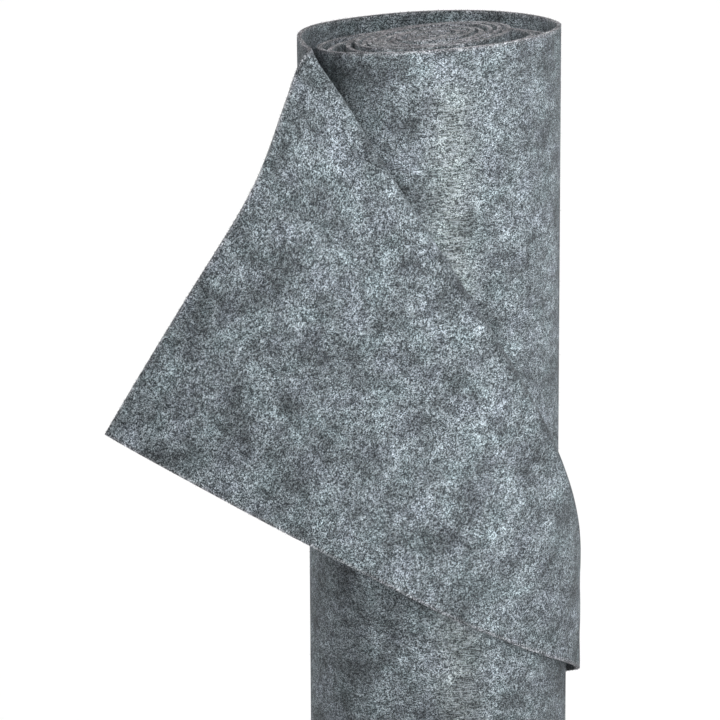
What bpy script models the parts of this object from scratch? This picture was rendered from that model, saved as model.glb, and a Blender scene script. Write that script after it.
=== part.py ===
"""A roll of grey needle felt, standing on its end.

One long sheet is wound into a roll. Its inner turns are tight and its outer turns
are loose. The last turn stands off the roll at the back and on the left, and the
top corner of its free end is folded outwards along a slanting line, so that it
hangs in front of the roll as a broad triangle.

The origin is on the roll's axis, on the surface that it stands on. +Z is up and
the folded corner hangs on the -Y side. Angles round the roll are in degrees from
the front (-Y) towards the right (+X), and grow outwards along the winding.
"""

import math

import bmesh
import bpy

# Felt, in metres
FELT = 0.003
WIDTH = 1.0
CLEAR = 0.0003

# Wound roll
CORE_RADIUS = 0.0590
CORE_DROP = 0.0015
CORE_ROOT = 0.020
SLOT_DEPTH = 0.090
RIM_SLOPE = 0.09
SEAM = 110.0
TURN_STEP = 9.0

# Winding of the loose turns: turns before the seam, mid radius of the felt, centre of the turn,
# and how far its rim stands above the roll's sloping top
TURNS = (
    ("turns", "radius", "right", "front", "lift"),
    (-2.55, 0.0570, -0.0055, 0.0060, -0.0015),
    (-2.30, 0.0655, -0.0052, 0.0058, -0.0015),
    (-2.12, 0.0705, -0.0050, 0.0055, -0.0040),
    (-2.00, 0.0685, -0.0045, 0.0050, -0.0070),
    (-1.80, 0.0700, -0.0040, 0.0045, -0.0060),
    (-1.55, 0.0730, -0.0025, 0.0030, -0.0050),
    (-1.30, 0.0780, -0.0010, 0.0010, -0.0030),
    (-1.12, 0.0765, 0.0000, 0.0000, -0.0045),
    (-1.00, 0.0730, 0.0000, 0.0000, -0.0095),
    (-0.86, 0.0755, 0.0000, 0.0000, -0.0095),
    (-0.72, 0.0800, 0.0000, 0.0000, -0.0063),
    (-0.60, 0.0822, 0.0000, 0.0000, -0.0032),
    (-0.50, 0.0828, 0.0000, 0.0000, -0.0005),
    (-0.36, 0.0832, 0.0000, 0.0000, 0.0018),
    (-0.20, 0.0835, 0.0000, 0.0000, 0.0002),
    (0.00, 0.0841, 0.0000, 0.0000, -0.0029),
)

# Last turn and folded corner
TIGHT_RADIUS = 0.0900
SEAM_RADIUS = 0.0845
SEAM_REACH = 150.0
FOLD_START = -52.0
FOLD_SLOPE = math.radians(59.3)
FREE_EDGE = 0.3080
BEND = 0.0050
SETTLED = 0.34

# Last turn at the rim: angle, how far it stands off its tight place, rise of its edge
LAST_TURN = (
    ("angle", "off", "rise"),
    (-250, 0.0000, 0.0043),
    (-210, 0.0020, 0.0032),
    (-180, 0.0035, 0.0016),
    (-140, 0.0055, -0.0006),
    (-100, 0.0065, 0.0000),
    (-70, 0.0115, 0.0000),
    (-52, 0.0190, 0.0000),
    (-39, 0.0115, 0.0000),
    (-26, 0.0080, 0.0000),
    (-12, 0.0045, 0.0000),
    (5, 0.0010, 0.0000),
    (30, 0.0000, 0.0000),
)

# Hanging corner: where it leaves the roll, its crown and how it settles
LEAVES = 8.0
CROWN = 1.0
STRETCH = 1.02
FOLD_FELT = 0.075
STAND = (("angle", "off"), (0, 0.0), (35, 0.0010), (65, 0.0030), (95, 0.0040), (140, 0.0020))
LIFT = (
    ("along", "lift"),
    (-0.15, 0.0085),
    (-0.05, 0.0050),
    (0.03, 0.0030),
    (0.10, 0.0010),
    (0.16, 0.0015),
    (0.23, 0.0060),
    (0.30, 0.0030),
)
SWAY = (
    ("drop", "sway"),
    (0.00, 0.0000),
    (0.05, 0.0040),
    (0.10, 0.0050),
    (0.17, 0.0010),
    (0.25, -0.0020),
    (0.36, -0.0020),
)

# How finely the sheet is creased before it is bent
COLUMN_STEP = 12.0
ROW_STEP = 0.026
PLAIN_ROWS = (0.60, 0.75, 0.90)
BEND_PARTS = 4

GREY = (0.19, 0.22, 0.24, 1.0)
GREY_INSIDE = (0.17, 0.20, 0.22, 1.0)


def smooth(share):
    """0 to 1 with level ends."""
    share = min(1.0, max(0.0, share))
    return share * share * (3 - 2 * share)


def read(table, at, column):
    """Reads a column of a table on a smooth curve through its rows."""
    rows = table[1:]
    if at <= rows[0][0]:
        return rows[0][column]
    if at >= rows[-1][0]:
        return rows[-1][column]
    i = next(n for n in range(len(rows) - 1) if at <= rows[n + 1][0])

    def slope(row):
        low, high = max(0, row - 1), min(len(rows) - 1, row + 1)
        return (rows[high][column] - rows[low][column]) / (rows[high][0] - rows[low][0])

    span = rows[i + 1][0] - rows[i][0]
    t = (at - rows[i][0]) / span
    ends = (2 * t**3 - 3 * t**2 + 1) * rows[i][column] + (3 * t**2 - 2 * t**3) * rows[i + 1][column]
    return ends + (t**3 - 2 * t**2 + t) * span * slope(i) + (t**3 - t**2) * span * slope(i + 1)


def round_axis(radius, angle):
    """The place at that radius and angle in radians: right, and towards the front."""
    return radius * math.sin(angle), radius * math.cos(angle)


def last_turn(along, drop):
    """The sheet before its fold: place and outward direction, for a length from the fold's start."""
    angle = math.radians(FOLD_START) + along / TIGHT_RADIUS
    degrees = math.degrees(angle)
    radius = SEAM_RADIUS + (TIGHT_RADIUS - SEAM_RADIUS) * smooth((degrees + 360 - SEAM) / SEAM_REACH)
    radius += read(LAST_TURN, degrees, 1) * (1 - smooth(drop / SETTLED))
    return *round_axis(radius, angle), *round_axis(1.0, angle)


def hanging_line(along):
    """The hanging corner seen from above: round the roll, then off it in a long, slightly crowned line."""
    leaves = math.radians(LEAVES)
    angle = math.radians(FOLD_START) + along / TIGHT_RADIUS
    off = read(STAND, math.degrees(max(angle, leaves)), 1)
    radius = TIGHT_RADIUS + 2 * BEND + off
    if angle >= leaves:
        return round_axis(radius, angle)
    right, front = round_axis(radius, leaves)
    turned = (leaves - angle) * TIGHT_RADIUS * STRETCH / CROWN - leaves
    right -= CROWN * (math.sin(turned) + math.sin(leaves))
    front += CROWN * (math.cos(turned) - math.cos(leaves))
    return right, front


def place(along, drop):
    """Bends one point of the flat sheet: the length from the fold's start, and the drop from the top edge."""
    cosine, sine = math.cos(FOLD_SLOPE), math.sin(FOLD_SLOPE)
    past = along * sine - drop * cosine
    down = along * cosine + drop * sine
    turned = (past + BEND) / BEND
    if turned <= 0:
        behind, out = -past, 0.0
    elif turned < math.pi:
        behind = BEND * (1 - math.sin(turned))
        out = BEND * (1 - math.cos(turned))
    else:
        behind, out = past - (math.pi - 2) * BEND, 2 * BEND
    along, drop = down * cosine - behind * sine, down * sine + behind * cosine
    right, front, *_ = last_turn(along, drop)
    share = out / (2 * BEND)
    if share:
        at_fold = drop / math.tan(FOLD_SLOPE)
        fold_right, fold_front, facing_right, facing_front = last_turn(at_fold, drop)
        line_right, line_front = hanging_line(at_fold)
        felt = math.exp(-((max(0.0, at_fold - along) / FOLD_FELT) ** 2))
        hang_right, hang_front = hanging_line(along)
        hang_right += (fold_right + 2 * BEND * facing_right - line_right) * felt
        hang_right += read(SWAY, drop, 1) * (1 - felt)
        hang_front += (fold_front + 2 * BEND * facing_front - line_front) * felt
        right += (hang_right - right) * share
        front += (hang_front - front) * share
        drop -= read(LIFT, along, 1) * share * smooth(drop / 0.05)
    degrees = FOLD_START + math.degrees(along / TIGHT_RADIUS)
    height = (WIDTH - drop) * (1 + read(LAST_TURN, degrees, 2) / WIDTH)
    return right, -front, height


def felt_finish(name, colour):
    """A plain matt felt."""
    finish = bpy.data.materials.new(name)
    finish.use_nodes = True
    shader = finish.node_tree.nodes["Principled BSDF"]
    shader.inputs["Base Color"].default_value = colour
    shader.inputs["Roughness"].default_value = 0.95
    shader.inputs["Metallic"].default_value = 0.0
    finish.diffuse_color = colour
    return finish


def keep(bm, name, finish=None):
    """Turns a bmesh into an object in the scene."""
    bmesh.ops.recalc_face_normals(bm, faces=bm.faces)
    mesh = bpy.data.meshes.new(name)
    bm.to_mesh(mesh)
    bm.free()
    if finish:
        mesh.materials.append(finish)
    thing = bpy.data.objects.new(name, mesh)
    bpy.context.scene.collection.objects.link(thing)
    return thing


def wound_turn(turns, out=0.0):
    """A point of the felt that many turns before the seam, and that far outside its middle."""
    right, front = round_axis(read(TURNS, turns, 1) + out, math.radians(SEAM + 360 * turns))
    return right + read(TURNS, turns, 2), front + read(TURNS, turns, 3)


def rim_height(right, lift):
    """The top of the wound felt slopes up to the right, as on a roll that has slipped along its axis."""
    return WIDTH + RIM_SLOPE * right + lift


def wound_turns():
    """The loose turns as one standing ribbon, from inside the core out to the seam."""
    bm = bmesh.new()
    steps = round((TURNS[-1][0] - TURNS[1][0]) * 360 / TURN_STEP)
    first = None
    for step in range(steps + 1):
        turns = TURNS[1][0] + (TURNS[-1][0] - TURNS[1][0]) * step / steps
        corners = []
        for side, top in ((-1, 0), (1, 0), (1, 1), (-1, 1)):
            right, front = wound_turn(turns, side * FELT / 2)
            corners.append(bm.verts.new((right, -front, rim_height(right, read(TURNS, turns, 4)) * top)))
        ring = bm.faces.new(corners).edges[:]
        if first:
            bmesh.ops.bridge_loops(bm, edges=first + ring)
        first = ring
    inner = [face for face in bm.faces if all(edge.is_manifold is False for edge in face.edges)]
    bmesh.ops.delete(bm, geom=inner, context="FACES_ONLY")
    return bm


def wound_filling():
    """The part of the roll where its turns lie close: a prism with the outline of the outermost turn."""
    bm = bmesh.new()
    steps = round(360 / TURN_STEP)
    outline = []
    for step in range(steps):
        turns = -1 + step / steps
        right, front = wound_turn(turns)
        outline.append(bm.verts.new((right, -front, 0.0)))
    floor = bm.faces.new(outline)
    raised = bmesh.ops.extrude_face_region(bm, geom=[floor], use_keep_orig=True)["geom"]
    lift = [item for item in raised if isinstance(item, bmesh.types.BMVert)]
    bmesh.ops.translate(bm, vec=(0, 0, WIDTH - SLOT_DEPTH), verts=lift)
    return bm


def wound_core():
    """The tight core, with the roll's sloping top."""
    bm = bmesh.new()
    height = SLOT_DEPTH + CORE_ROOT
    bmesh.ops.create_cone(
        bm, cap_ends=True, segments=40, radius1=CORE_RADIUS, radius2=CORE_RADIUS, depth=height
    )
    right, front = TURNS[1][2:4]
    bmesh.ops.translate(bm, vec=(right, -front, WIDTH - height / 2), verts=bm.verts)
    for vert in bm.verts:
        if vert.co.z > WIDTH - SLOT_DEPTH:
            vert.co.z = rim_height(vert.co.x, -CORE_DROP)
    return bm


def wound_roll():
    """The wound form as one solid: filling, core and the standing edges of its loose turns."""
    roll = keep(wound_filling(), "wound_roll", felt_finish("felt_roll", GREY))
    for name, bm in (("turns", wound_turns()), ("core", wound_core())):
        helper = keep(bm, name)
        helper.hide_render = True
        helper.display_type = "WIRE"
        join = roll.modifiers.new(name, "BOOLEAN")
        join.operation = "UNION"
        join.solver = "EXACT"
        join.object = helper


def flat_sheet():
    """The last turn and free end as one flat sheet, creased where it will bend."""
    start = math.radians(SEAM - 360 - FOLD_START) * TIGHT_RADIUS + CLEAR
    bm = bmesh.new()
    corners = [(start, 0), (FREE_EDGE, 0), (FREE_EDGE, WIDTH), (start, WIDTH)]
    bm.faces.new([bm.verts.new((along, drop, 0)) for along, drop in corners])
    column = math.radians(COLUMN_STEP) * TIGHT_RADIUS
    lines = [((start + column * n, 0), (1, 0)) for n in range(1, int((FREE_EDGE - start) / column) + 1)]
    fold_end = FREE_EDGE * math.tan(FOLD_SLOPE)
    rows = [ROW_STEP * n for n in range(1, int(fold_end / ROW_STEP) + 1)]
    lines += [((0, drop), (0, 1)) for drop in (*rows, *PLAIN_ROWS)]
    across = (math.sin(FOLD_SLOPE), -math.cos(FOLD_SLOPE))
    for part in range(BEND_PARTS + 1):
        past = BEND * (math.pi * part / BEND_PARTS - 1)
        lines.append(((across[0] * past, across[1] * past), across))
    for point, normal in lines:
        everything = bm.verts[:] + bm.edges[:] + bm.faces[:]
        bmesh.ops.bisect_plane(
            bm, geom=everything, dist=1e-6, plane_co=(*point, 0), plane_no=(*normal, 0)
        )
    bmesh.ops.remove_doubles(bm, verts=bm.verts, dist=0.0001)
    return bm


def loose_end():
    """The last turn, with its folded corner hanging in front."""
    bm = flat_sheet()
    for vert in bm.verts:
        vert.co = place(vert.co.x, vert.co.y)
    sheet = keep(bm, "loose_end", felt_finish("felt_loose_end", GREY_INSIDE))
    thicken = sheet.modifiers.new("felt", "SOLIDIFY")
    thicken.thickness = FELT
    thicken.offset = 0.0
    thicken.use_even_offset = True


for old in list(bpy.data.objects):
    bpy.data.objects.remove(old)
wound_roll()
loose_end()
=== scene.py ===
"""The finished look of the roll of grey needle felt.

felt_sheet is the felt itself, one sheet. It is marked out flat, wound from the eye of the core
outwards, and its free end goes round the roll and is folded over as the solid's is.
loose_fibres is the short fuzz on its faces and cut edges.

Lengths are in metres. "along" runs along the sheet from the start of the fold, towards the free
end, and "drop" runs down from the top rim. Angles round the roll are in degrees from the front
(-Y) towards the right (+X).
"""

import math
import random
from bisect import bisect_left
from functools import reduce

import bmesh
import bpy
from mathutils import Matrix, Vector


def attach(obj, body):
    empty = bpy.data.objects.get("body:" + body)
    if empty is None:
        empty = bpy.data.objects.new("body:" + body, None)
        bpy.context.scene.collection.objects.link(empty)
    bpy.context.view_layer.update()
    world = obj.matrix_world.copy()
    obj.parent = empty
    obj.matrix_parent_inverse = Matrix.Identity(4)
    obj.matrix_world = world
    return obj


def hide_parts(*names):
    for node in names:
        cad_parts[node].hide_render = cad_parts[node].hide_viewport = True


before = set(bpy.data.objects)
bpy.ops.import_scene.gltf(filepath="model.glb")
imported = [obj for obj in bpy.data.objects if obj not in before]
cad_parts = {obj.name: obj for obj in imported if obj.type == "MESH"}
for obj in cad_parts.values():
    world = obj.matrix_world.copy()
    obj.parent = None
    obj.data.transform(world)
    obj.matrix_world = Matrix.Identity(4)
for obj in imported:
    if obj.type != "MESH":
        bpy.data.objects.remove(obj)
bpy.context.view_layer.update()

# Felt
FELT = 0.003
WIDTH = 1.0
EDGE_ROUND = 0.0007
EDGE_SEGMENTS = 2
EDGE_ANGLE = math.radians(50)

# Winding: where the last turn starts, how far apart the marks along the sheet are, and how much
# higher the roll's top is for each metre to the right
SEAM = 110.0
TURN_STEP = 9.0
RIM_SLOPE = 0.09

# The turns, from the eye of the core to the seam: turns before the seam, mid radius of the felt,
# centre of the turn, and how far its rim stands above the roll's sloping top
TURNS = (
    ("turns", "radius", "right", "front", "lift"),
    (-17.80, 0.0040, -0.0020, 0.0050, -0.0040),
    (-16.00, 0.0098, -0.0022, 0.0050, -0.0005),
    (-15.00, 0.0131, -0.0023, 0.0050, -0.0030),
    (-14.00, 0.0164, -0.0024, 0.0050, 0.0004),
    (-12.90, 0.0200, -0.0025, 0.0050, -0.0034),
    (-11.80, 0.0237, -0.0026, 0.0050, -0.0006),
    (-10.90, 0.0266, -0.0027, 0.0050, 0.0006),
    (-10.00, 0.0296, -0.0028, 0.0051, -0.0036),
    (-9.00, 0.0329, -0.0029, 0.0052, -0.0006),
    (-8.00, 0.0362, -0.0030, 0.0052, -0.0030),
    (-7.00, 0.0395, -0.0031, 0.0053, 0.0006),
    (-6.00, 0.0428, -0.0032, 0.0053, -0.0028),
    (-5.00, 0.0461, -0.0034, 0.0054, 0.0004),
    (-4.20, 0.0492, -0.0038, 0.0055, -0.0032),
    (-3.40, 0.0527, -0.0046, 0.0058, 0.0002),
    (-2.55, 0.0570, -0.0055, 0.0060, -0.0015),
    (-2.30, 0.0655, -0.0052, 0.0058, -0.0015),
    (-2.12, 0.0705, -0.0050, 0.0055, -0.0040),
    (-2.00, 0.0685, -0.0045, 0.0050, -0.0070),
    (-1.80, 0.0700, -0.0040, 0.0045, -0.0060),
    (-1.55, 0.0730, -0.0025, 0.0030, -0.0050),
    (-1.30, 0.0780, -0.0010, 0.0010, -0.0030),
    (-1.12, 0.0765, 0.0000, 0.0000, -0.0045),
    (-1.00, 0.0730, 0.0000, 0.0000, -0.0095),
    (-0.86, 0.0755, 0.0000, 0.0000, -0.0095),
    (-0.72, 0.0800, 0.0000, 0.0000, -0.0063),
    (-0.60, 0.0822, 0.0000, 0.0000, -0.0032),
    (-0.50, 0.0828, 0.0000, 0.0000, -0.0005),
    (-0.36, 0.0832, 0.0000, 0.0000, 0.0018),
    (-0.20, 0.0835, 0.0000, 0.0000, 0.0002),
    (0.00, 0.0841, 0.0000, 0.0000, -0.0029),
)

# Last turn, and the fold of its free corner. The turn widens over SEAM_REACH degrees from the
# seam. SETTLED is the drop from which it lies tight, and LAST_TURN gives how far it stands off
# above that, and how far its rim rises.
TIGHT_RADIUS = 0.0900
SEAM_RADIUS = 0.0845
SEAM_REACH = 150.0
FOLD_START = -52.0
FOLD_SLOPE = math.radians(59.3)
FREE_EDGE = 0.3080
BEND = 0.0050
SETTLED = 0.34
LAST_TURN = (
    ("angle", "off", "rise"),
    (-250, 0.0000, 0.0043),
    (-210, 0.0020, 0.0032),
    (-180, 0.0035, 0.0016),
    (-140, 0.0045, -0.0006),
    (-100, 0.0045, 0.0000),
    (-70, 0.0100, 0.0000),
    (-52, 0.0190, 0.0000),
    (-39, 0.0115, 0.0000),
    (-26, 0.0080, 0.0000),
    (-12, 0.0045, 0.0000),
    (5, 0.0010, 0.0000),
    (30, 0.0000, 0.0000),
)

# Hanging corner. It leaves the roll at the angle LEAVES, in a line of the radius CROWN that
# STRETCH makes a little longer, and keeps to the fold itself within about FOLD_REACH of it.
# STAND is how far it stands off, SWAY how far it hangs to the right, and LIFT how far it is
# raised, in full from LIFT_FADE below the rim.
LEAVES = 8.0
CROWN = 1.0
STRETCH = 1.02
FOLD_REACH = 0.075
LIFT_FADE = 0.05
STAND = (
    ("angle", "off"),
    (0, 0.0000),
    (14, -0.0040),
    (28, -0.0052),
    (42, -0.0040),
    (62, 0.0008),
    (95, 0.0015),
    (140, 0.0010),
)
LIFT = (
    ("along", "lift"),
    (-0.15, 0.0085),
    (-0.05, 0.0050),
    (0.03, 0.0030),
    (0.10, 0.0010),
    (0.16, 0.0015),
    (0.23, 0.0070),
    (0.26, 0.0115),
    (0.30, 0.0150),
)
SWAY = (
    ("drop", "sway"),
    (0.00, 0.0000),
    (0.05, 0.0040),
    (0.10, 0.0050),
    (0.17, 0.0010),
    (0.25, -0.0020),
    (0.36, -0.0020),
)

# How finely the sheet is marked out, and how close two marks count as one
FREE_STEP = 0.006
ROWS = (("from", "step"), (0.0, 0.01), (0.05, 0.02), (0.61, 0.039))
BEND_PARTS = 12
SAME_CUT = 1e-6
SAME_MARK = 1e-5
SAME_POINT = 1e-4

# Felt's dark, middle and light shade, on its faces and where it is cut, and its gloss
SHADES = ((0.0015, 0.0028, 0.0036), (0.028, 0.036, 0.041), (0.290, 0.331, 0.356))
EDGE_SHADES = ((0.003, 0.003, 0.003), (0.048, 0.045, 0.047), (0.330, 0.315, 0.325))
GLOSS = (
    ("Roughness", 0.7),
    ("Specular IOR Level", 0.15),
    ("Sheen Weight", 0.05),
    ("Sheen Roughness", 0.5),
    ("Sheen Tint", (0.85, 0.92, 1.0, 1.0)),
)

# Grain of the felt. A "seed" picks the part of the noise that a pattern is cut from, and
# "shows" is the range of the noise over which it fades in. Noise lies evenly round its middle.
NOISE_MIDDLE = 0.5
SEED_WAY = (1.0, 0.7, 1.3)
GRAIN = 0.0009
EDGE_GRAIN = 0.0020
SPECKLE_SEED = 3.1
SPECKLE_SHOWS = (0.30, 0.70)
RELIEF = 0.6
RELIEF_DEPTH = 0.0006

# Matted strands lie three ways and gather in clumps. Their sizes are in grains.
STRANDS = (
    ("kind", "size", "turned", "seed", "clump_seed"),
    ("pale", 1.5, 0.0, 20.0, 41.0),
    ("deep", 1.7, 0.5, 90.0, 57.0),
)
STRAND_TURNS = (0.0, 1.05, 2.1)
STRAND_SEED_STEP = 7
STRAND_WIDTH = 0.035
STRAND_STRETCH = 2.6
STRAND_COVER = 0.75
CLUMP = 2.2
CLUMP_SHOWS = (0.42, 0.60)

# Soft clouds, darker and lighter, and soft patches with a tint of teal or mauve
CLOUDS = (
    ("size", "dark", "light", "seed"),
    (0.0065, 0.62, 1.35, 6.5),
    (0.028, 0.58, 1.40, 28.0),
)
DARK_SHOWS = (0.52, 0.32)
LIGHT_SHOWS = (0.48, 0.68)
PATCH = 0.022
PATCH_SEED = 11.9
TINTS = (
    ("colour", "shows"),
    ((0.96, 1.01, 1.00), (0.50, 0.66)),
    ((0.99, 0.97, 1.01), (0.50, 0.34)),
)
TINT_COVER = 0.8

# Painted shade along the crease, standing in for the fold's shadow: how far past the fold its
# darker line lies, and how far down the fold it fades in
CREASE_PLACE = 0.0072
CREASE_HALF_WIDTH = 0.0050
CREASE_FROM = (0.12, 0.20)
CREASE_PAINTED_SHADE = (0.55, 0.55, 0.55)

# Painted highlight band down the front, on the roll and on the free end, with its pale streaks
PAINTED_HIGHLIGHT_BANDS = (("middle", "half_width", "below"), (-0.464, 0.026, 0.0), (0.095, 0.026, 0.3))
PAINTED_HIGHLIGHT = (1.12, 1.10, 1.04)
PAINTED_HIGHLIGHT_FADE = 0.05
HIGHLIGHT_STREAK = 0.0011
HIGHLIGHT_STREAK_STRETCH = 7.0
HIGHLIGHT_STREAK_SEED = 71.0
HIGHLIGHT_STREAK_SHOWS = (0.52, 0.64)
HIGHLIGHT_STREAK_COVER = 0.4

# Beside a cut edge the shade of the edge comes through
EDGE_SHOWS = 0.0035
EDGE_TINT = (1.5, 1.33, 1.30)
EDGE_COVER = 0.8

# Loose fibres, on faces further from the axis than OUTER_FACES and on edges off the ground.
# UPRIGHT is how strongly they point out of the felt, STRAY and CURL how far they wander.
FACE_FIBRES = 9000
EDGE_FIBRES = 15000
OUTER_FACES = 0.080
FIBRE_SEED = 7
FIBRE_LENGTH = (0.0004, 0.0011)
FIBRE_WIDTH = 0.00014
FACE_UPRIGHT = (0.2, 1.0)
EDGE_UPRIGHT = (0.2, 0.8)
STRAY = 0.7
CURL = 0.35
ROOT_STRAY = 0.5
TIP_UPRIGHT = 0.4
FIBRE_PARTS = 2
FIBRE_ROUGHNESS = 0.7
FIBRE_SHADES = (
    ("deep_fibre", 0.020, 0.023, 0.025),
    ("middle_fibre", 0.10, 0.115, 0.125),
    ("pale_fibre", 0.36, 0.38, 0.40),
)

# Photograph's camera: lens and its picture width in millimetres, size of a picture point at the
# roll, tilt and lean, picture width in points, and the point where the axis meets the rim
LENS = 210.0
SENSOR = 36
POINT = 0.000692
TILT = math.radians(13.4)
LEAN = 0.0045
PICTURE = 720
AXIS_POINT = (439.5, 33.0)
CAMERA_REACH = 100

# Studio. The floor reaches FLOOR_REACH each way.
FLOOR_REACH = 12
FLOOR_SHADE = (0.94, 0.94, 0.94)
FLOOR_ROUGHNESS = 1.0
SKY = 1.07
LIGHTS = (
    ("name", "place", "target", "size", "power"),
    ("upper_front", (0.10, -0.35, 1.20), (0.0, -0.05, 0.75), 0.2, 2.6),
    ("front", (0.12, -0.38, 0.95), (0.0, -0.05, 0.75), 0.15, 0.46),
    ("right", (0.24, -0.36, 0.84), (0.0, -0.05, 0.75), 0.15, 1.0),
    ("low_front", (0.17, -0.34, 0.61), (0.0, -0.05, 0.72), 0.15, 0.82),
)


def smooth(share):
    """0 to 1 with level ends."""
    share = min(1.0, max(0.0, share))
    return share * share * (3 - 2 * share)


def read(table, at, name):
    """Reads a column of a table on a smooth curve through its rows."""
    column, rows = table[0].index(name), table[1:]
    if at <= rows[0][0]:
        return rows[0][column]
    if at >= rows[-1][0]:
        return rows[-1][column]
    i = next(n for n in range(len(rows) - 1) if at <= rows[n + 1][0])

    def slope(row):
        low, high = max(0, row - 1), min(len(rows) - 1, row + 1)
        return (rows[high][column] - rows[low][column]) / (rows[high][0] - rows[low][0])

    span = rows[i + 1][0] - rows[i][0]
    t = (at - rows[i][0]) / span
    ends = (2 * t**3 - 3 * t**2 + 1) * rows[i][column]
    ends += (3 * t**2 - 2 * t**3) * rows[i + 1][column]
    return ends + (t**3 - 2 * t**2 + t) * span * slope(i) + (t**3 - t**2) * span * slope(i + 1)


def put(name, data):
    """Puts a new object in the scene."""
    thing = bpy.data.objects.new(name, data)
    bpy.context.scene.collection.objects.link(thing)
    return thing


def keep(bm, name):
    """Turns a bmesh into a smooth object in the scene."""
    for face in bm.faces:
        face.smooth = True
    mesh = bpy.data.meshes.new(name)
    bm.to_mesh(mesh)
    bm.free()
    return put(name, mesh)


# Shape


def round_axis(radius, angle):
    """The place at that radius and angle in radians: right, and towards the front."""
    return radius * math.sin(angle), radius * math.cos(angle)


def last_turn(along, drop):
    """The sheet before its fold: place and outward direction."""
    angle = math.radians(FOLD_START) + along / TIGHT_RADIUS
    degrees = math.degrees(angle)
    past_seam = smooth((degrees + 360 - SEAM) / SEAM_REACH)
    radius = SEAM_RADIUS + (TIGHT_RADIUS - SEAM_RADIUS) * past_seam
    radius += read(LAST_TURN, degrees, "off") * (1 - smooth(drop / SETTLED))
    return *round_axis(radius, angle), *round_axis(1.0, angle)


def hanging_line(along):
    """The hanging corner from above: round the roll, then off it in a slightly crowned line."""
    leaves = math.radians(LEAVES)
    angle = math.radians(FOLD_START) + along / TIGHT_RADIUS
    off = read(STAND, math.degrees(max(angle, leaves)), "off")
    radius = TIGHT_RADIUS + 2 * BEND + off
    if angle >= leaves:
        return round_axis(radius, angle)
    right, front = round_axis(radius, leaves)
    turned = (leaves - angle) * TIGHT_RADIUS * STRETCH / CROWN - leaves
    right -= CROWN * (math.sin(turned) + math.sin(leaves))
    front += CROWN * (math.cos(turned) - math.cos(leaves))
    return right, front


def place_free_end(along, drop):
    """Bends one point of the last turn and the free end into place."""
    cosine, sine = math.cos(FOLD_SLOPE), math.sin(FOLD_SLOPE)
    past = along * sine - drop * cosine
    down = along * cosine + drop * sine
    turned = (past + BEND) / BEND
    if turned <= 0:
        behind, out = -past, 0.0
    elif turned < math.pi:
        behind = BEND * (1 - math.sin(turned))
        out = BEND * (1 - math.cos(turned))
    else:
        behind, out = past - (math.pi - 2) * BEND, 2 * BEND
    along, drop = down * cosine - behind * sine, down * sine + behind * cosine
    right, front, *_ = last_turn(along, drop)
    share = out / (2 * BEND)
    if share:
        at_fold = drop / math.tan(FOLD_SLOPE)
        fold_right, fold_front, facing_right, facing_front = last_turn(at_fold, drop)
        line_right, line_front = hanging_line(at_fold)
        near_fold = math.exp(-((max(0.0, at_fold - along) / FOLD_REACH) ** 2))
        hang_right, hang_front = hanging_line(along)
        hang_right += (fold_right + 2 * BEND * facing_right - line_right) * near_fold
        hang_right += read(SWAY, drop, "sway") * (1 - near_fold)
        hang_front += (fold_front + 2 * BEND * facing_front - line_front) * near_fold
        right += (hang_right - right) * share
        front += (hang_front - front) * share
        drop -= read(LIFT, along, "lift") * share * smooth(drop / LIFT_FADE)
    degrees = FOLD_START + math.degrees(along / TIGHT_RADIUS)
    height = (WIDTH - drop) * (1 + read(LAST_TURN, degrees, "rise") / WIDTH)
    return right, -front, height


def wound_turn(turns):
    """The wound felt that many turns before the seam: right, and towards the front."""
    angle = math.radians(SEAM + 360 * turns)
    right, front = round_axis(read(TURNS, turns, "radius"), angle)
    return right + read(TURNS, turns, "right"), front + read(TURNS, turns, "front")


def place_wound(turns, drop):
    """Puts one point of the wound felt in place, higher to the right, where the roll slipped."""
    right, front = wound_turn(turns)
    rise = RIM_SLOPE * right + read(TURNS, turns, "lift")
    return right, -front, (WIDTH - drop) * (1 + rise / WIDTH)


def winding_marks(seam_at):
    """Marks along the flat sheet and their turns, from the eye of the core to the seam."""
    eye = TURNS[1][0]
    marks = [(seam_at, 0.0)]
    while marks[0][1] > eye:
        along, turns = marks[0]
        inner = turns - TURN_STEP / 360
        marks.insert(0, (along - math.dist(wound_turn(turns), wound_turn(inner)), inner))
    return marks


def row_drops():
    """Rows down the sheet, close together at the rim."""
    drops = []
    for (at, step), (end, _) in zip(ROWS[1:], (*ROWS[2:], (WIDTH, 0))):
        count = round((end - at) / step)
        drops += [at + (end - at) * n / count for n in range(count)]
    return drops + [WIDTH]


def flat_sheet(alongs, drops):
    """The sheet marked out flat: a grid with its columns at alongs and its rows at drops."""
    bm = bmesh.new()
    columns, rows = len(alongs) - 1, len(drops) - 1
    bmesh.ops.create_grid(bm, x_segments=columns, y_segments=rows, size=0.5)
    for vert in bm.verts:
        column, row = round((vert.co.x + 0.5) * columns), round((vert.co.y + 0.5) * rows)
        vert.co = (alongs[column], drops[row], 0)
    return bm


def cut_along_fold(bm):
    """Marks narrow strips along the fold on the flat sheet, so that it bends smoothly."""
    across = (math.sin(FOLD_SLOPE), -math.cos(FOLD_SLOPE))
    for part in range(BEND_PARTS + 1):
        past = BEND * (math.pi * part / BEND_PARTS - 1)
        bmesh.ops.bisect_plane(
            bm,
            geom=bm.verts[:] + bm.edges[:] + bm.faces[:],
            dist=SAME_CUT,
            plane_co=(across[0] * past, across[1] * past, 0),
            plane_no=(*across, 0),
        )
    bmesh.ops.remove_doubles(bm, verts=bm.verts, dist=SAME_POINT)


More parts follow.
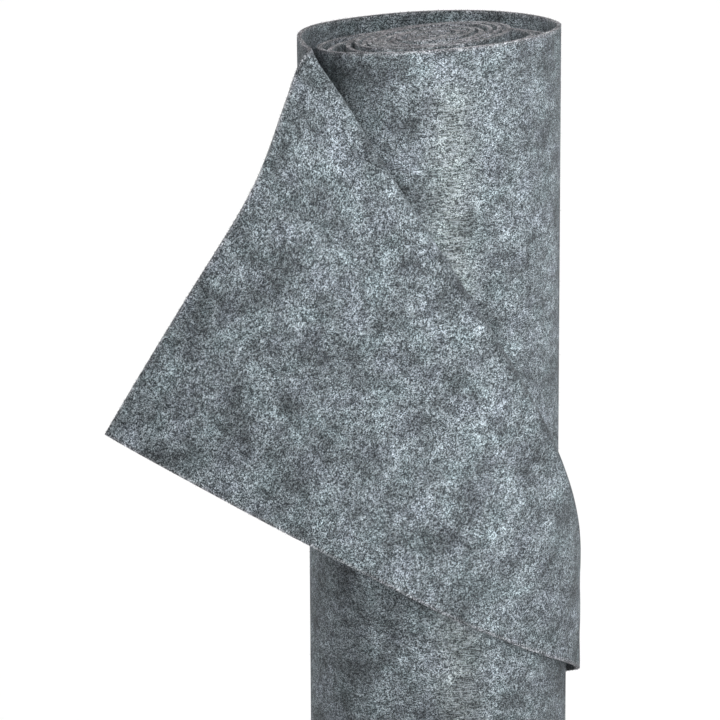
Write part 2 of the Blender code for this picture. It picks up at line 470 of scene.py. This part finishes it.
def whole_sheet():
    """The felt, wound and bent, with its places on the flat sheet kept, and its length."""
    seam_at = math.radians(SEAM - 360 - FOLD_START) * TIGHT_RADIUS
    marks = winding_marks(seam_at)
    steps = round((FREE_EDGE - seam_at) / FREE_STEP)
    alongs = [mark[0] for mark in marks]
    alongs += [seam_at + (FREE_EDGE - seam_at) * n / steps for n in range(1, steps + 1)]
    bm = flat_sheet(alongs, row_drops())
    cut_along_fold(bm)
    flat = bm.loops.layers.uv.new("flat")
    for face in bm.faces:
        for loop in face.loops:
            loop[flat].uv = loop.vert.co.xy
    for vert in bm.verts:
        along, drop, _ = vert.co
        if along < seam_at - SAME_MARK:
            mark = min(len(marks) - 1, bisect_left(alongs, along - SAME_MARK))
            vert.co = place_wound(marks[mark][1], drop)
        else:
            vert.co = place_free_end(along, drop)
    bm.normal_update()
    return bm, FREE_EDGE - alongs[0]


def fibre_roots(bm, dice):
    """Where loose fibres leave the felt and which way they point: on its faces and edges."""
    faces = [f for f in bm.faces if f.calc_center_median().xy.length > OUTER_FACES]
    for face in dice.choices(faces, [f.calc_area() for f in faces], k=FACE_FIBRES):
        side = dice.choice((-1, 1)) * face.normal
        corners = [v.co for v in face.verts]
        first = corners[0].lerp(corners[1], dice.random())
        second = corners[2].lerp(corners[-1], dice.random())
        spot = first.lerp(second, dice.random())
        yield spot + side * FELT / 2, side * dice.uniform(*FACE_UPRIGHT)
    edges = [e for e in bm.edges if e.is_boundary and max(v.co.z for v in e.verts) > FELT]
    for edge in dice.choices(edges, [e.calc_length() for e in edges], k=EDGE_FIBRES):
        face = edge.link_faces[0]
        start, end = (v.co for v in edge.verts)
        out = (start + end) / 2 - face.calc_center_median()
        spot = start.lerp(end, dice.random())
        root = spot + face.normal * dice.uniform(-0.5, 0.5) * FELT
        yield root, out.normalized() * dice.uniform(*EDGE_UPRIGHT)


def loose_fibres(bm):
    """Short stray fibres that stand out of the felt, as narrow bent ribbons."""
    dice = random.Random(FIBRE_SEED)
    line = bpy.data.curves.new("loose_fibres", "CURVE")
    line.dimensions = "3D"
    line.extrude = FIBRE_WIDTH / 2
    for root, way in fibre_roots(bm, dice):
        length = dice.uniform(*FIBRE_LENGTH)
        stray = Vector([dice.gauss(0, STRAY) for _ in range(3)])
        curl = Vector([dice.gauss(0, CURL) for _ in range(3)])
        first = (way + stray * ROOT_STRAY).normalized() * length / FIBRE_PARTS
        second = (way * TIP_UPRIGHT + stray + curl).normalized() * length / FIBRE_PARTS
        fibre = line.splines.new("POLY")
        fibre.points.add(FIBRE_PARTS)
        for point, spot in zip(fibre.points, (root, root + first, root + first + second)):
            point.co = (*spot, 1)
    thing = put("loose_fibres_line", line)
    bpy.context.view_layer.update()
    mesh = bpy.data.meshes.new_from_object(thing)
    mesh.name = "loose_fibres"
    bpy.data.objects.remove(thing)
    for name, *shade in FIBRE_SHADES:
        mesh.materials.append(plain_finish(name, shade, FIBRE_ROUGHNESS))
    for n, face in enumerate(mesh.polygons):
        face.material_index = n // FIBRE_PARTS % len(FIBRE_SHADES)
    return put("loose_fibres", mesh)


def thicken(felt):
    """Gives the sheet its thickness, with the second finish on its rounded cut edges."""
    thick = felt.modifiers.new("thickness", "SOLIDIFY")
    thick.thickness = FELT
    thick.offset = 0.0
    thick.use_even_offset = True
    thick.material_offset_rim = 1
    soft = felt.modifiers.new("edges", "BEVEL")
    soft.width = EDGE_ROUND
    soft.segments = EDGE_SEGMENTS
    soft.limit_method = "ANGLE"
    soft.angle_limit = EDGE_ANGLE


# Finish


def plain_finish(name, colour, roughness):
    """A finish of one colour."""
    finish = bpy.data.materials.new(name)
    finish.use_nodes = True
    shader = finish.node_tree.nodes["Principled BSDF"]
    shader.inputs["Base Color"].default_value = (*colour, 1)
    shader.inputs["Roughness"].default_value = roughness
    return finish


def noise_map(tree, where, size, seed, detail=2.0, rough=0.5, turn=0.0, stretch=1.0):
    """Noise with spots of about that size, from one part of the noise, turned and stretched."""
    spot = tree.nodes.new("ShaderNodeMapping")
    spot.inputs["Location"].default_value = [seed * part for part in SEED_WAY]
    spot.inputs["Rotation"].default_value = (0, 0, turn)
    spot.inputs["Scale"].default_value = (1 / stretch, 1, 1)
    pattern = tree.nodes.new("ShaderNodeTexNoise")
    pattern.inputs["Scale"].default_value = 1 / size
    pattern.inputs["Detail"].default_value = detail
    pattern.inputs["Roughness"].default_value = rough
    tree.links.new(where, spot.inputs["Vector"])
    tree.links.new(spot.outputs["Vector"], pattern.inputs["Vector"])
    return pattern.outputs["Fac"]


def spread(tree, value, low, high, to_low=0.0, to_high=1.0):
    """Stretches a value from one range to another, with soft ends."""
    step = tree.nodes.new("ShaderNodeMapRange")
    step.interpolation_type = "SMOOTHSTEP"
    ends = (("From Min", low), ("From Max", high), ("To Min", to_low), ("To Max", to_high))
    for socket, number in ends:
        step.inputs[socket].default_value = number
    tree.links.new(value, step.inputs["Value"])
    return step.outputs["Result"]


def combine(tree, operation, first, second):
    """One step of arithmetic on two values, either of which may be a plain number."""
    step = tree.nodes.new("ShaderNodeMath")
    step.operation = operation
    for socket, value in zip(step.inputs, (first, second)):
        if isinstance(value, (int, float)):
            socket.default_value = value
        else:
            tree.links.new(value, socket)
    return step.outputs["Value"]


def slanted(tree, first, of_first, second, of_second):
    """A place in a direction across the sheet: so much of one value and so much of another."""
    share = combine(tree, "MULTIPLY", first, of_first)
    return combine(tree, "ADD", share, combine(tree, "MULTIPLY", second, of_second))


def close_to(tree, value, middle, reach):
    """1 where the value is at its middle, fading to 0 that far from it."""
    off = combine(tree, "ABSOLUTE", combine(tree, "SUBTRACT", value, middle), 0.0)
    return spread(tree, off, reach, 0.0)


def dye(tree, below, colour, amount, blend="MIX"):
    """Lays a colour over another by that amount."""
    layer = tree.nodes.new("ShaderNodeMix")
    layer.data_type = "RGBA"
    layer.blend_type = blend
    for name, value in (("A_Color", below), ("B_Color", colour), ("Factor_Float", amount)):
        socket = next(s for s in layer.inputs if s.identifier == name)
        if isinstance(value, tuple):
            socket.default_value = (*value, 1)
        else:
            tree.links.new(value, socket)
    return next(s for s in layer.outputs if s.identifier == "Result_Color")


def strands(tree, where, grain, size, turned, seed, clump_seed):
    """Thin wavy strands, matted in clumps: 1 on a strand, 0 beside it."""
    ways = []
    for n, turn in enumerate(STRAND_TURNS):
        ridge = noise_map(
            tree,
            where,
            grain * size,
            seed + STRAND_SEED_STEP * n,
            detail=1.0,
            rough=0.4,
            turn=turn + turned,
            stretch=STRAND_STRETCH,
        )
        ways.append(close_to(tree, ridge, NOISE_MIDDLE, STRAND_WIDTH))
    matted = reduce(lambda first, second: combine(tree, "MAXIMUM", first, second), ways)
    clumps = noise_map(tree, where, grain * CLUMP, clump_seed)
    return combine(tree, "MULTIPLY", matted, spread(tree, clumps, *CLUMP_SHOWS))


def clouds(tree, where, colour):
    """Makes the colour darker, lighter and slightly tinted in soft clouds."""
    for size, dark, light, seed in CLOUDS[1:]:
        cloud = noise_map(tree, where, size, seed, rough=0.6)
        colour = dye(tree, colour, (dark,) * 3, spread(tree, cloud, *DARK_SHOWS), "MULTIPLY")
        colour = dye(tree, colour, (light,) * 3, spread(tree, cloud, *LIGHT_SHOWS), "MULTIPLY")
    patches = noise_map(tree, where, PATCH, PATCH_SEED)
    for tint, shows in TINTS[1:]:
        colour = dye(tree, colour, tint, spread(tree, patches, *shows, 0.0, TINT_COVER), "MULTIPLY")
    return colour


def painted_light_and_edge_tint(tree, where, colour, highlight_streak_shade):
    """Painted crease shade and front highlight, and the cut edges' shade beside them."""
    split = tree.nodes.new("ShaderNodeSeparateXYZ")
    tree.links.new(where, split.inputs["Vector"])
    along, drop = split.outputs["X"], split.outputs["Y"]
    cosine, sine = math.cos(FOLD_SLOPE), math.sin(FOLD_SLOPE)
    past = slanted(tree, along, sine, drop, -cosine)
    down = slanted(tree, along, cosine, drop, sine)
    # painted shade: a darker line along the crease, fading in down the fold, standing in for its
    # shadow
    crease = close_to(tree, past, CREASE_PLACE, CREASE_HALF_WIDTH)
    crease = combine(tree, "MULTIPLY", crease, spread(tree, down, *CREASE_FROM))
    colour = dye(tree, colour, CREASE_PAINTED_SHADE, crease, "MULTIPLY")
    # painted highlight: a paler band down the front where the lamps' sheen falls, with pale streaks
    highlight_streaks = noise_map(tree, where, HIGHLIGHT_STREAK, HIGHLIGHT_STREAK_SEED, detail=1.0, stretch=HIGHLIGHT_STREAK_STRETCH)
    highlight_streaks = spread(tree, highlight_streaks, *HIGHLIGHT_STREAK_SHOWS, 0.0, HIGHLIGHT_STREAK_COVER)
    for middle, half_width, below in PAINTED_HIGHLIGHT_BANDS[1:]:
        band = close_to(tree, along, middle, half_width)
        band = combine(tree, "MULTIPLY", band, spread(tree, drop, below, below + PAINTED_HIGHLIGHT_FADE))
        colour = dye(tree, colour, PAINTED_HIGHLIGHT, band, "MULTIPLY")
        colour = dye(tree, colour, highlight_streak_shade, combine(tree, "MULTIPLY", highlight_streaks, band))
    from_rims = combine(tree, "MINIMUM", drop, combine(tree, "SUBTRACT", WIDTH, drop))
    from_free_edge = combine(tree, "SUBTRACT", FREE_EDGE, along)
    from_edge = combine(tree, "MINIMUM", from_rims, from_free_edge)
    near_edge = spread(tree, from_edge, EDGE_SHOWS, 0.0, 0.0, EDGE_COVER)
    return dye(tree, colour, EDGE_TINT, near_edge, "MULTIPLY")


def felt_finish(name, shades, grain, across_edge=False):
    """Heathered needle felt: matted strands of dark, middle and light fibre, in soft clouds."""
    finish = bpy.data.materials.new(name)
    finish.use_nodes = True
    tree = finish.node_tree
    shader = tree.nodes["Principled BSDF"]
    for socket, value in GLOSS:
        shader.inputs[socket].default_value = value
    if across_edge:
        where = tree.nodes.new("ShaderNodeTexCoord").outputs["Object"]
    else:
        flat = tree.nodes.new("ShaderNodeUVMap")
        flat.uv_map = "flat"
        where = flat.outputs["UV"]
    dark, middle, light = shades
    speckle = noise_map(tree, where, grain, SPECKLE_SEED, detail=3.0, rough=0.75)
    tone = spread(tree, speckle, *SPECKLE_SHOWS)
    pale, deep = (strands(tree, where, grain, *row[1:]) for row in STRANDS[1:])
    colour = dye(tree, dark, middle, spread(tree, tone, 0.0, 0.5))
    colour = dye(tree, colour, light, spread(tree, tone, 0.5, 1.0))
    colour = dye(tree, colour, dark, combine(tree, "MULTIPLY", deep, STRAND_COVER))
    colour = dye(tree, colour, light, combine(tree, "MULTIPLY", pale, STRAND_COVER))
    colour = clouds(tree, where, colour)
    if not across_edge:
        # painted crease shade and a painted highlight band; the cut edges' tint is the felt's own
        colour = painted_light_and_edge_tint(tree, where, colour, light)
    tree.links.new(colour, shader.inputs["Base Color"])
    relief = tree.nodes.new("ShaderNodeBump")
    relief.inputs["Strength"].default_value = RELIEF
    relief.inputs["Distance"].default_value = RELIEF_DEPTH
    height = combine(tree, "ADD", tone, combine(tree, "SUBTRACT", pale, deep))
    tree.links.new(height, relief.inputs["Height"])
    tree.links.new(relief.outputs["Normal"], shader.inputs["Normal"])
    return finish


# Roll

bm, length = whole_sheet()
fibres = loose_fibres(bm)
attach(fibres, "root")
felt = keep(bm, "felt_sheet")
felt.data.materials.append(felt_finish("needle_felt", SHADES, GRAIN))
felt.data.materials.append(felt_finish("felt_cut_edge", EDGE_SHADES, EDGE_GRAIN, across_edge=True))
thicken(felt)
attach(felt, "root")
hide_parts("wound_roll", "loose_end")


# Floor, lights and camera


def floor():
    """A wide, pale and level floor."""
    bm = bmesh.new()
    bmesh.ops.create_grid(bm, x_segments=1, y_segments=1, size=FLOOR_REACH)
    ground = keep(bm, "floor")
    ground.data.materials.append(plain_finish("pale_floor", FLOOR_SHADE, FLOOR_ROUGHNESS))


def sky():
    """Even white light from all round."""
    world = bpy.data.worlds.new("studio")
    world.use_nodes = True
    background = world.node_tree.nodes["Background"]
    background.inputs["Color"].default_value = (1, 1, 1, 1)
    background.inputs["Strength"].default_value = SKY
    bpy.context.scene.world = world


def light(name, place, target, size, power):
    """A square soft light that points at a target."""
    lamp = bpy.data.lights.new(name, "AREA")
    lamp.size = size
    lamp.energy = power
    thing = put(name, lamp)
    thing.location = place
    thing.rotation_mode = "QUATERNION"
    thing.rotation_quaternion = (Vector(target) - Vector(place)).to_track_quat("-Z", "Y")


def camera():
    """Looks at the roll as the photograph does, from in front and a little above."""
    forward = Vector((0, math.cos(TILT), -math.sin(TILT)))
    up = Vector((0, math.sin(TILT), math.cos(TILT)))
    right = Vector((1, 0, 0))
    away = LENS / SENSOR * PICTURE * POINT
    lens = bpy.data.cameras.new("camera")
    lens.lens = LENS
    lens.clip_end = CAMERA_REACH
    thing = put("camera", lens)
    thing.location = Vector((0, 0, WIDTH)) - forward * away
    thing.location -= right * (AXIS_POINT[0] - PICTURE / 2) * POINT
    thing.location -= up * (PICTURE / 2 - AXIS_POINT[1]) * POINT
    turn = Matrix((right, up, -forward)).transposed() @ Matrix.Rotation(-LEAN, 3, "Z")
    thing.rotation_mode = "QUATERNION"
    thing.rotation_quaternion = turn.to_quaternion()
    bpy.context.scene.camera = thing


bpy.context.scene.view_settings.view_transform = "Standard"
floor()
sky()
for row in LIGHTS[1:]:
    light(*row)
camera()
